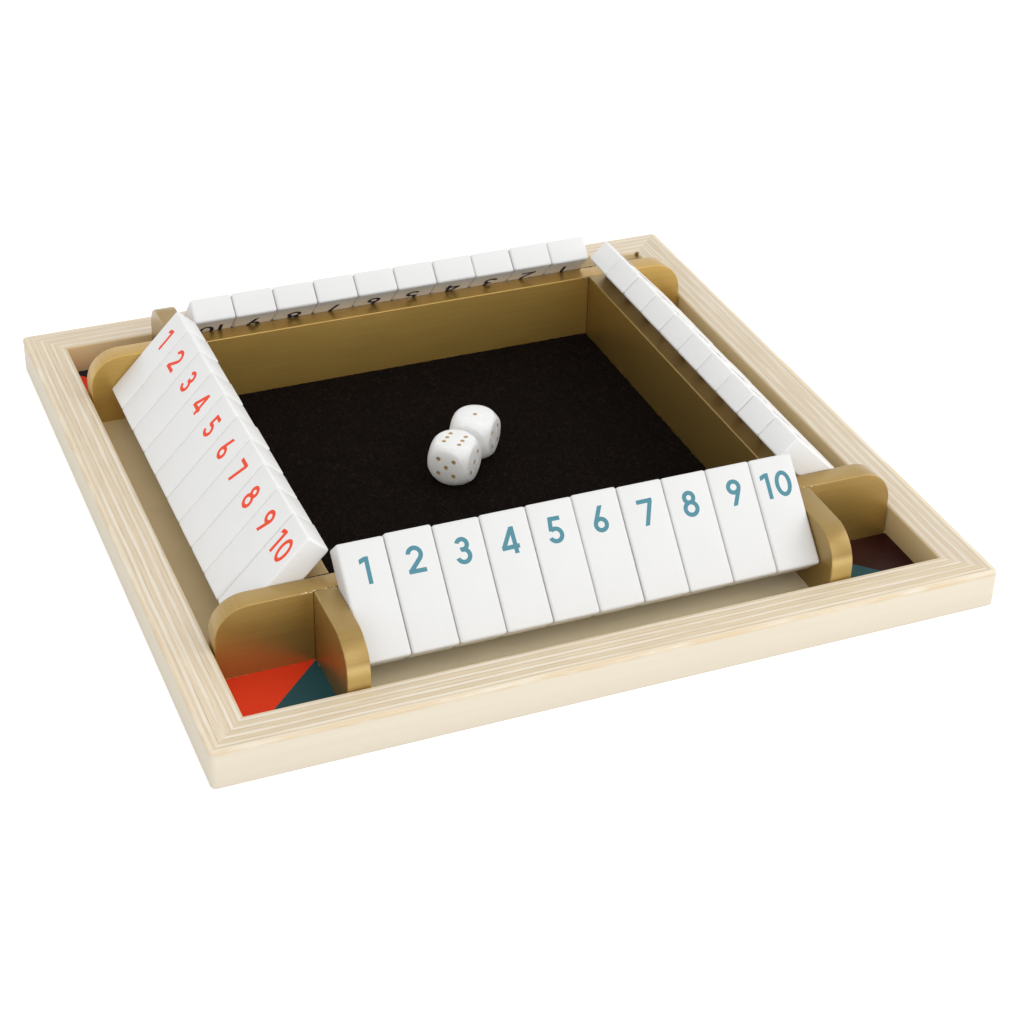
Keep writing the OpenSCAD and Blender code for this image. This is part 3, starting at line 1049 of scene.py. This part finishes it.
PIPS = {
    1: [(0, 0)],
    2: [(-1, 1), (1, -1)],
    3: [(-1, 1), (0, 0), (1, -1)],
    4: [(-1, -1), (1, -1), (-1, 1), (1, 1)],
    5: [(-1, -1), (1, -1), (0, 0), (-1, 1), (1, 1)],
    6: [(-1, -1), (-1, 0), (-1, 1), (1, -1), (1, 0), (1, 1)],
}
# How the top of a die is turned to its top, front, right, left, back and bottom
DIE_SIDES = ((0, "X"), (90, "X"), (90, "Y"), (-90, "Y"), (-90, "X"), (180, "X"))
DIE_NUMBERS = {"die_a": (6, 5, 3, 4, 2, 1), "die_b": (1, 2, 4, 3, 5, 6)}


def die_body(half, dice):
    """A cube whose corners and edges are rounded by a ball."""
    body = bmesh.new()
    bmesh.ops.create_cube(body, size=2 * half)
    bmesh.ops.subdivide_edges(body, edges=body.edges[:], cuts=31, use_grid_fill=True)
    for vert in body.verts:
        if vert.co.length > dice.ball / 2:
            vert.co *= dice.ball / 2 / vert.co.length
    for _ in range(2):
        bmesh.ops.smooth_vert(body, verts=body.verts, factor=0.5)
    return body


def pip_balls(numbers, half, dice):
    """The balls that sink a die's pips."""
    radius = ((dice.pip_width / 2) ** 2 + dice.pip_depth ** 2) / (2 * dice.pip_depth)
    balls = bmesh.new()
    for (degrees, axis), number in zip(DIE_SIDES, numbers):
        turn = Matrix.Rotation(math.radians(degrees), 4, axis)
        for x, y in PIPS[number]:
            at = Vector((x * dice.pip_pitch, y * dice.pip_pitch, half + radius - dice.pip_depth))
            bmesh.ops.create_icosphere(balls, subdivisions=4, radius=radius,
                                       matrix=turn @ Matrix.Translation(at))
    for face in balls.faces:
        face.material_index = 1
    return balls


class SHUTTHEBOX_OT_dice(bpy.types.Operator):
    """Builds the two rounded dice with their sunk pips"""
    bl_idname = "shut_the_box.dice"
    bl_label = "Dice"

    def execute(self, context):
        dice = context.scene.game_dice
        materials = [die_plastic(dice), pip_paint(dice)]
        for node, turn in (("die_a", dice.turn_a), ("die_b", dice.turn_b)):
            low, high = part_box(node)
            half = (high.z - low.z) / 2
            body = combine(die_body(half, dice), pip_balls(DIE_NUMBERS[node], half, dice))
            place = Matrix.Translation((low + high) / 2) @ Matrix.Rotation(turn, 4, "Z")
            piece("white_" + node, moved(body, place), node, materials, [node])
        return {"FINISHED"}


# -------------------- stage

def camera_place(stage):
    """The camera's turn and place from its direction, roll, distance and target."""
    return (Matrix.Translation((stage.target_x, stage.target_y, 0))
            @ Matrix.Rotation(stage.azimuth, 4, "Z")
            @ Matrix.Rotation(math.pi / 2 - stage.elevation, 4, "X")
            @ Matrix.Rotation(stage.roll, 4, "Z")
            @ Matrix.Translation((0, 0, stage.distance)))


def floor_finish(stage):
    """Pale floor that meets the camera as white away from the shadows."""
    finish = Finish("pale_floor", Base_Color=stage.floor, Roughness=0.9, Specular_IOR_Level=0.0)
    lift = finish.node("Emission", {"Color": (1, 1, 1), "Strength": finish.seen() * stage.lift})
    both = finish.node("AddShader", {0: Value(finish, finish.surface.outputs[0]), 1: lift})
    finish.set(finish.nodes["Material Output"].inputs["Surface"], both)
    return finish.material


def white_sky(stage):
    """Even light from all round, which the camera and gloss see as plain white."""
    world = bpy.data.worlds.new("white_sky")
    bpy.context.scene.world = world
    world.use_nodes = True
    sky = Tree(world.node_tree)
    strength = sky.node("MapRange", {"Value": sky.seen(), "To Min": stage.sky, "To Max": 1.0})
    sky.set(sky.nodes["Background"].inputs["Color"], (1, 1, 1))
    sky.set(sky.nodes["Background"].inputs["Strength"], strength)


def soft_box(name, place, size, power):
    """A square area light that faces the game."""
    light = bpy.data.lights.new(name, "AREA")
    light.size = size
    light.energy = power
    lamp = bpy.data.objects.new(name, light)
    lamp.location = place
    lamp.rotation_euler = (-Vector(place)).to_track_quat("-Z", "Y").to_euler()
    bpy.context.scene.collection.objects.link(lamp)


class SHUTTHEBOX_OT_stage(bpy.types.Operator):
    """Sets up the camera, the soft lights and the pale floor"""
    bl_idname = "shut_the_box.stage"
    bl_label = "Stage"

    def execute(self, context):
        scene = context.scene
        stage = scene.game_stage
        scene.view_settings.view_transform = "Standard"
        lens = bpy.data.cameras.new("view")
        lens.sensor_width = 36
        lens.sensor_fit = "HORIZONTAL"
        lens.lens = stage.lens
        lens.clip_end = 20
        camera = bpy.data.objects.new("view", lens)
        camera.matrix_world = camera_place(stage)
        scene.collection.objects.link(camera)
        scene.camera = camera
        floor = bmesh.new()
        bmesh.ops.create_grid(floor, x_segments=1, y_segments=1, size=stage.floor_size)
        ground = as_object(floor, "floor")
        ground.data.materials.append(floor_finish(stage))
        white_sky(stage)
        soft_box("right_soft_box", (1.05, -0.45, 0.72), 0.8, stage.right)
        soft_box("front_soft_box", (0.05, -1.23, 0.8), 1.1, stage.front)
        return {"FINISHED"}


# -------------------- add-on

class SHUTTHEBOX_PT_panel(bpy.types.Panel):
    """Lists the game's pieces and their settings"""
    bl_label = "Shut the Box"
    bl_idname = "SHUTTHEBOX_PT_panel"
    bl_space_type = "VIEW_3D"
    bl_region_type = "UI"
    bl_category = "Shut the Box"

    def draw(self, context):
        for operator in OPERATORS:
            self.layout.operator(operator.bl_idname)
        for name, group in SETTINGS.items():
            column = self.layout.column(align=True)
            column.label(text=group.__name__.replace("Settings", ""))
            for setting in group.__annotations__:
                column.prop(getattr(context.scene, name), setting)


OPERATORS = (
    SHUTTHEBOX_OT_rails,
    SHUTTHEBOX_OT_walls,
    SHUTTHEBOX_OT_base,
    SHUTTHEBOX_OT_felt,
    SHUTTHEBOX_OT_tiles,
    SHUTTHEBOX_OT_numerals,
    SHUTTHEBOX_OT_dice,
    SHUTTHEBOX_OT_stage,
)


def register():
    for item in (*SETTINGS.values(), *OPERATORS, SHUTTHEBOX_PT_panel):
        bpy.utils.register_class(item)
    for name, group in SETTINGS.items():
        setattr(bpy.types.Scene, name, PointerProperty(type=group))


def unregister():
    for name in SETTINGS:
        delattr(bpy.types.Scene, name)
    for item in reversed((*SETTINGS.values(), *OPERATORS, SHUTTHEBOX_PT_panel)):
        bpy.utils.unregister_class(item)


def main():
    register()
    for operator in OPERATORS:
        group, name = operator.bl_idname.split(".")
        getattr(getattr(bpy.ops, group), name)()


if __name__ == "__main__":
    main()
